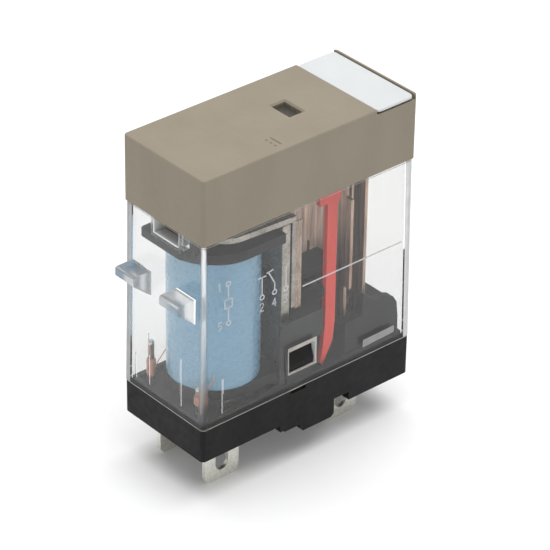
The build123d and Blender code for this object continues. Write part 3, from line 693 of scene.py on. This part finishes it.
# Sizes and places of the marks, in millimetres on the long face
STROKE = 0.15
RULE_WIDTH = 0.17
DIGIT_HEIGHT = 0.95
DIGIT_STROKE = 0.12
RING = 0.27                                # radius of a terminal's circle
RING_REACH = RING + STROKE                 # from its centre to the start of a line
LABEL_PATCH = [(7.73, 5.97), (12.25, 6.15), (12.25, 6.98), (7.73, 6.92)]
RULE = ((-0.87, 17.2), (12.93, 17.2))
COIL_TOP = (-11.0, 21.5)
COIL_BOTTOM = (-11.0, 16.8)
COIL_HALF = 0.5                            # half the side of the coil's box
COIL_DIGIT_OFFSET = 1.15
CLOSED_CONTACT = (-6.5, 18.05)
MOVING_CONTACT = (-4.8, 18.05)
OPEN_CONTACT = (-3.25, 17.85)
CONTACT_TOP = 20.46
CONTACT_BAR = 0.5                          # half the bar on the closed contact
ARM_BEND = (-4.8, 19.16)
ARM_TOP = (-5.62, 20.71)
ARM_BAR = ((-0.2, 0.0), (0.55, 0.12))      # ends of the bar on the arm, from the arm's top
CONTACT_DIGIT_OFFSET = (-0.05, -1.2)


def coil_sign(marks):
    """Coil between two terminals."""
    x, top = COIL_TOP
    bottom = COIL_BOTTOM[1]
    middle = (top + bottom) / 2
    for height, figure in ((top, "1"), (bottom, "5")):
        marks.circle((x, height), RING, STROKE)
        marks.digit(figure, (x - COIL_DIGIT_OFFSET, height), DIGIT_HEIGHT, DIGIT_STROKE)
    marks.line((x, top - RING_REACH), (x, middle + COIL_HALF), STROKE)
    marks.line((x, bottom + RING_REACH), (x, middle - COIL_HALF), STROKE)
    turns = ((-1, -1), (1, -1), (1, 1), (-1, 1), (-1, -1))
    marks.path([(x + across * COIL_HALF, middle + up * COIL_HALF) for across, up in turns], STROKE)


def contact_sign(marks):
    """Changeover contact: two fixed contacts, and the moving one leaning on the first."""
    for centre, figure in ((CLOSED_CONTACT, "2"), (MOVING_CONTACT, "4"), (OPEN_CONTACT, "3")):
        marks.circle(centre, RING, STROKE)
        place = (centre[0] + CONTACT_DIGIT_OFFSET[0], centre[1] + CONTACT_DIGIT_OFFSET[1])
        marks.digit(figure, place, DIGIT_HEIGHT, DIGIT_STROKE)
    x, height = CLOSED_CONTACT
    marks.path([(x, height + RING_REACH), (x, CONTACT_TOP), (x + CONTACT_BAR, CONTACT_TOP)], STROKE)
    marks.line((x - CONTACT_BAR, CONTACT_TOP), (x, CONTACT_TOP), STROKE)
    x, height = MOVING_CONTACT
    marks.path([(x, height + RING_REACH), ARM_BEND, ARM_TOP], STROKE)
    marks.line(*[(ARM_TOP[0] + along, ARM_TOP[1] + up) for along, up in ARM_BAR], STROKE)
    x, height = OPEN_CONTACT
    marks.line((x, height + RING_REACH), (x, CONTACT_TOP), STROKE)


def print_case():
    """Contact diagram, rule and label patch on the near long face."""
    grey = printed_ink("grey_ink", dark=(0.26, 0.26, 0.265), light=(0.31, 0.31, 0.312))
    label = Print()
    label.patch(LABEL_PATCH)
    label.lay("case_label_patch", grey)
    ink = printed_ink("printed_ink", dark=(0.44, 0.455, 0.47), light=(0.58, 0.59, 0.60))
    marks = Print()
    marks.line(*RULE, RULE_WIDTH)
    coil_sign(marks)
    contact_sign(marks)
    marks.lay("case_print", ink)


print_case()


# ---------------------------------------------------------------- painted highlights and shade on the edges of the case

BEAD_STEPS = 2                                   # fineness of a bead's round section
SEAM_RADIUS = 0.05 * MM
CAP_LINE_RADIUS = 0.04 * MM
CAP_LINE_DROP = 0.34 * MM                        # below the overhanging edge of the cap
CORNER = 0.5 * MM
CORNER_STEPS = 6
LATCH_WINDOW = ((-2.75, 6.95), (1.0, 9.7))       # (x, z) of its corners in millimetres
LATCH_MARGINS = (0.1, 0.14, 0.14, 0.46)          # left, right, below and above the window
BAND_DEPTH = (0.04 * MM, 0.07 * MM)              # how far under the surface the painted pale bands lie
FACING = (0.02, 0.05)                            # pale facings on the cut edges of the openings, painted highlights
WALL_CUT = (0.06, 0.64)                          # their reach through the wall
VENT = ((-14.15, -2.3, 25.1), (-12.8, 1.8, 26.9))      # opening under the cap, in millimetres
TAB_SIDES = ((-5.05, -2.15), (2.15, 5.05))       # across the two hold-down tabs, in millimetres
TAB_LINES = ((0.06, 0.4), (2.0, 2.16))           # painted shade bands across a tab's top, from its tip
TAB_TOP = 20.34
CAP_WINDOW = ((0.95, -1.65), (2.75, 1.25))       # opening in the cap's roof, in millimetres
PANE_DEPTH = (0.5, 0.8)                          # how far down in the opening its pane lies
CORNER_DEPTH = (0.10 * MM, 0.16 * MM)
CORNER_BAND = (0.1 * MM, 0.82 * MM)              # from the body's outer face inwards

# pale strips and beads are painted highlights, the grey ones painted shade
EDGE_HIGHLIGHT = painted_glass_light("painted_glass_light", dark=(0.36, 0.335, 0.30), light=(0.50, 0.47, 0.43))
SHADE_STRIPS = painted_glass_light("glass_shade", dark=(0.40, 0.405, 0.405), light=(0.50, 0.505, 0.505))
HIGHLIGHT_STRIPS = painted_glass_light("glass_highlight", dark=(0.64, 0.64, 0.63), light=(0.76, 0.76, 0.75))


def body_loop(height, inset, radius):
    """Round the body at one height, as far inside the base's edge as asked."""
    low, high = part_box("base")
    reach = CORNER - radius
    points = []
    corners = ((high.x, high.y), (low.x, high.y), (low.x, low.y), (high.x, low.y))
    for quarter, (edge_x, edge_y) in enumerate(corners):
        centre_x = edge_x - math.copysign(CORNER + inset, edge_x)
        centre_y = edge_y - math.copysign(CORNER + inset, edge_y)
        for step in range(CORNER_STEPS + 1):
            angle = math.pi / 2 * (quarter + step / CORNER_STEPS)
            x, y = centre_x + reach * math.cos(angle), centre_y + reach * math.sin(angle)
            points.append((x, y, height))
    return points


def add_slab(mesh, near, far):
    """Closed thin slab between two outlines with the same number of corners."""
    rims = [[mesh.verts.new(point) for point in outline] for outline in (near, far)]
    mesh.faces.new(rims[0])
    mesh.faces.new(reversed(rims[1]))
    count = len(near)
    for i in range(count):
        j = (i + 1) % count
        mesh.faces.new((rims[0][i], rims[1][i], rims[1][j], rims[0][j]))


def add_box(mesh, low, high):
    """Closed block between two corners in millimetres."""
    rims = []
    for z in (low[2], high[2]):
        corners = ((low[0], low[1]), (high[0], low[1]), (high[0], high[1]), (low[0], high[1]))
        rims.append([(x * MM, y * MM, z * MM) for x, y in corners])
    add_slab(mesh, *rims)


def face_openings():
    """Pale facings on the cut edges of the latch windows and the vent, painted highlights there."""
    mesh = bmesh.new()
    (left, bottom), (right, top) = LATCH_WINDOW
    for side in (1, -1):
        rims = []
        for x in FACING:
            rim = []
            for z, depth in ((bottom, 0), (bottom, 1), (top, 1), (top, 0)):
                spot = case_wall((right - x) * MM, z * MM, -WALL_CUT[depth] * MM)
                rim.append((spot.x, side * spot.y, spot.z))
            rims.append(rim)
        add_slab(mesh, *rims)
    (low_x, low_y, low_z), (high_x, high_y, high_z) = VENT
    inner, outer = FACING
    add_box(mesh, (low_x, low_y + outer, low_z + inner), (high_x, high_y - outer, low_z + outer))
    add_box(mesh, (low_x, high_y - outer, low_z + inner), (high_x, high_y - inner, high_z))
    ride_mesh("opening_highlights", mesh, HIGHLIGHT_STRIPS)


def shade_window():
    """Dark pane in the cap's window, over the lever's top: it stands in for the shaded surface seen
    through the window, painted shade.
    """
    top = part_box("top_cap")[1].z / MM
    (left, low_y), (right, high_y) = CAP_WINDOW
    gap = FACING[0]
    mesh = bmesh.new()
    low = (left + gap, low_y + gap, top - PANE_DEPTH[1])
    add_box(mesh, low, (right - gap, high_y - gap, top - PANE_DEPTH[0]))
    ride_mesh("window_shade_pane", mesh, window_shade_plastic())


def line_tabs():
    """Grey lines of painted shade at the tip and the root of the hold-down tabs, just under their tops.
    """
    mesh = bmesh.new()
    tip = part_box("clear_case")[0].x / MM
    for left, right in TAB_SIDES:
        for start, end in TAB_LINES:
            low = (tip + start, left, TAB_TOP - FACING[1])
            add_box(mesh, low, (tip + end, right, TAB_TOP - FACING[0]))
    ride_mesh("tab_shade_lines", mesh, SHADE_STRIPS)


def frame_latch_windows():
    """Pale band round each latch window, just under the surface of the wall: a painted highlight."""
    (left, bottom), (right, top) = LATCH_WINDOW
    less_x, more_x, less_z, more_z = LATCH_MARGINS
    bars = (
        (left - less_x, left, bottom - less_z, top + more_z),
        (right, right + more_x, bottom - less_z, top + more_z),
        (left, right, bottom - less_z, bottom),
        (left, right, top, top + more_z),
    )
    mesh = bmesh.new()
    for low_x, high_x, low_z, high_z in bars:
        corners = ((low_x, low_z), (high_x, low_z), (high_x, high_z), (low_x, high_z))
        for side in (1, -1):
            rims = []
            for depth in BAND_DEPTH:
                spots = [case_wall(x * MM, z * MM, -depth) for x, z in corners]
                rims.append([(spot.x, side * spot.y, spot.z) for spot in spots])
            add_slab(mesh, *rims)
    ride_mesh("latch_window_highlight", mesh, EDGE_HIGHLIGHT)


def corner_strip(name, axis, material):
    """Upright strip of painted light in a thick corner of the case, just under its face on the low side
    of this axis; its material makes it shade or highlight.
    """
    seat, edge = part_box("clear_case")[0].z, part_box("top_cap")[0].z
    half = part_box("base")[1]
    mesh = bmesh.new()
    rims = []
    for depth in CORNER_DEPTH:
        rim = []
        for height, lean, band in (
            (seat, 0, CORNER_BAND[1]),
            (seat, 0, CORNER_BAND[0]),
            (edge, CASE_DRAFT, CORNER_BAND[0]),
            (edge, CASE_DRAFT, CORNER_BAND[1]),
        ):
            point = Vector((0, 0, height))
            point[axis] = lean + depth - half[axis]
            point[1 - axis] = half[1 - axis] - lean - band
            rim.append(point)
        rims.append(rim)
    add_slab(mesh, *rims)
    ride_mesh(name, mesh, material)


def bead_case():
    """Thin round beads along the case's seam with the base and under the cap, pale as painted
    highlights on those edges.
    """
    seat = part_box("clear_case")[0].z
    seam = body_loop(seat, 0, SEAM_RADIUS)
    ride_wire("case_seam_highlight", seam, SEAM_RADIUS, EDGE_HIGHLIGHT, BEAD_STEPS, closed=True)
    line = body_loop(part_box("top_cap")[0].z - CAP_LINE_DROP, CASE_DRAFT, CAP_LINE_RADIUS)
    ride_wire("cap_line_highlight", line, CAP_LINE_RADIUS, EDGE_HIGHLIGHT, BEAD_STEPS, closed=True)


bead_case()
frame_latch_windows()
face_openings()
line_tabs()
shade_window()
corner_strip("coil_end_corner_shade", 0, SHADE_STRIPS)
corner_strip("contact_end_corner_highlight", 1, HIGHLIGHT_STRIPS)


# ---------------------------------------------------------------- wound wire ends

WIRE_RADIUS = 0.06 * MM
LAYERS = ((0.37, 0.0, 1.0), (0.47, 0.92, 0.12))      # radius, first and last share of the height
WOUND_HEIGHT = {"a": (5.92, 7.0), "b": (5.67, 7.85)}
STEPS_PER_TURN = 20
TAPE_GAP = 0.1 * MM
WIRE_END_HEIGHT = 8.6 * MM
WIRE_END_ANGLE = math.radians(48)
WIRE_STEPS = 3                                       # fineness of the wire's round section
WIRE_LIFT = 0.25 * MM                                # rise of the free stretch at its middle
WIRE_TUCK = (0.4 * MM, 0.2 * MM)                     # last bit of wire, up and in under the tape


def winding_points(post, bottom, top):
    """Turns of wire in layers round a post, each turn a wire's width from the last."""
    points, angle = [], 0.0
    pitch = 2 * WIRE_RADIUS
    for radius, first, last in LAYERS:
        turns = abs(last - first) * (top - bottom) * MM / pitch
        steps = round(turns * STEPS_PER_TURN)
        for i in range(steps):
            height = (bottom + (first + (last - first) * i / steps) * (top - bottom)) * MM
            turn = angle + 2 * math.pi * i / STEPS_PER_TURN
            x, y = post.x + radius * MM * math.cos(turn), post.y + radius * MM * math.sin(turn)
            points.append(Vector((x, y, height)))
        angle += 2 * math.pi * steps / STEPS_PER_TURN
    return points


def wind_lead(letter):
    """Fine wire wound on a coil post and led up into the tape."""
    post = sum(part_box("lead_solder_" + letter), Vector()) / 2
    low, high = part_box("coil_tape")
    axis = (low + high) / 2
    reach = (high.y - low.y) / 2 + TAPE_GAP
    side = 1 if post.y > 0 else -1
    points = winding_points(post, *WOUND_HEIGHT[letter])
    out = Vector((-math.cos(WIRE_END_ANGLE), side * math.sin(WIRE_END_ANGLE), 0))
    end = Vector((axis.x, axis.y, WIRE_END_HEIGHT)) + out * reach
    middle = points[-1].lerp(end, 0.5) + Vector((0, 0, WIRE_LIFT))
    rise, tuck = WIRE_TUCK
    points += [middle, end, end + Vector((0, 0, rise)) - out * tuck]
    name = "wound_lead_" + letter
    piece = ride_wire(name, points, WIRE_RADIUS, FINISHES["enamelled_copper"], WIRE_STEPS)
    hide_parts("coil_lead_" + letter)


for letter in "ab":
    wind_lead(letter)


# ---------------------------------------------------------------- floor, light and camera

def lay_floor():
    """Round sheet that the blades stand on."""
    sheet = bmesh.new()
    place = Matrix.Translation((0, 0, cad_box[0][2]))
    bmesh.ops.create_circle(sheet, cap_ends=True, radius=FLOOR_RADIUS, segments=64, matrix=place)
    data = bpy.data.meshes.new("floor")
    sheet.to_mesh(data)
    floor = bpy.data.objects.new("floor", data)
    bpy.context.scene.collection.objects.link(floor)
    data.materials.append(floor_paper())


def light_scene():
    """White sky and one broad lamp overhead."""
    world = bpy.data.worlds.new("studio")
    bpy.context.scene.world = world
    world.use_nodes = True
    sky = world.node_tree.nodes["Background"]
    sky.inputs["Color"].default_value = (1, 1, 1, 1)
    sky.inputs["Strength"].default_value = SKY_STRENGTH
    key = bpy.data.lights.new("key", "SUN")
    key.energy = KEY_STRENGTH
    key.angle = math.radians(KEY_SPREAD)
    lamp = bpy.data.objects.new("key", key)
    lamp.rotation_euler = (math.radians(KEY_LEAN[0]), math.radians(KEY_LEAN[1]), 0)
    bpy.context.scene.collection.objects.link(lamp)
    bpy.context.scene.view_settings.view_transform = "Standard"


def aim_camera():
    """Camera on a sphere round the target, turned a little about its own line of sight."""
    azimuth, elevation = math.radians(VIEW_AZIMUTH), math.radians(VIEW_ELEVATION)
    back = Vector((
        math.sin(azimuth) * math.cos(elevation),
        -math.cos(azimuth) * math.cos(elevation),
        math.sin(elevation),
    ))
    data = bpy.data.cameras.new("camera")
    data.lens = LENS
    data.sensor_width = SENSOR
    data.clip_start, data.clip_end = CLIP
    camera = bpy.data.objects.new("camera", data)
    roll = Matrix.Rotation(math.radians(VIEW_ROLL), 3, "Z")
    turn = (-back).to_track_quat("-Z", "Y").to_matrix() @ roll
    camera.matrix_world = Matrix.Translation(VIEW_TARGET + back * VIEW_DISTANCE) @ turn.to_4x4()
    bpy.context.scene.collection.objects.link(camera)
    bpy.context.scene.camera = camera


lay_floor()
light_scene()
aim_camera()
